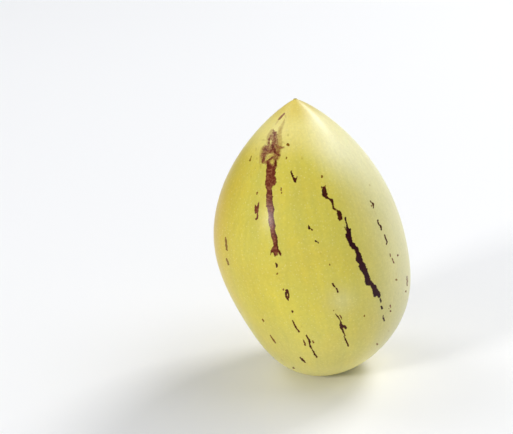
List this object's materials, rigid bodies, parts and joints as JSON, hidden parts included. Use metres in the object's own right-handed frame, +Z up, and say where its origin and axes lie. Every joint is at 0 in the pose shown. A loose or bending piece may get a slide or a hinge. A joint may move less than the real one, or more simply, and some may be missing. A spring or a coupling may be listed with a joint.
{
  "type": "pepino melon",
  "caption": "Whole pepino melon, an egg-shaped fruit with a blunt point, standing on a small flat spot at its stem end.",
  "frame": {"origin": "middle of the bounding box's underside, on the surface that the fruit stands on", "axes": "+Z up, from the stem end that rests to the pointed end; the fruit leans a few degrees towards -X and +Y"},
  "size_m": [0.0738, 0.0724, 0.1064],
  "materials": {
    "skin": "satin waxy yellow-green fruit skin with broken dark purple streaks running from end to end"
  },
  "bodies": {
    "root": {"pepino_melon": "skin"}
  },
  "joints": []
}
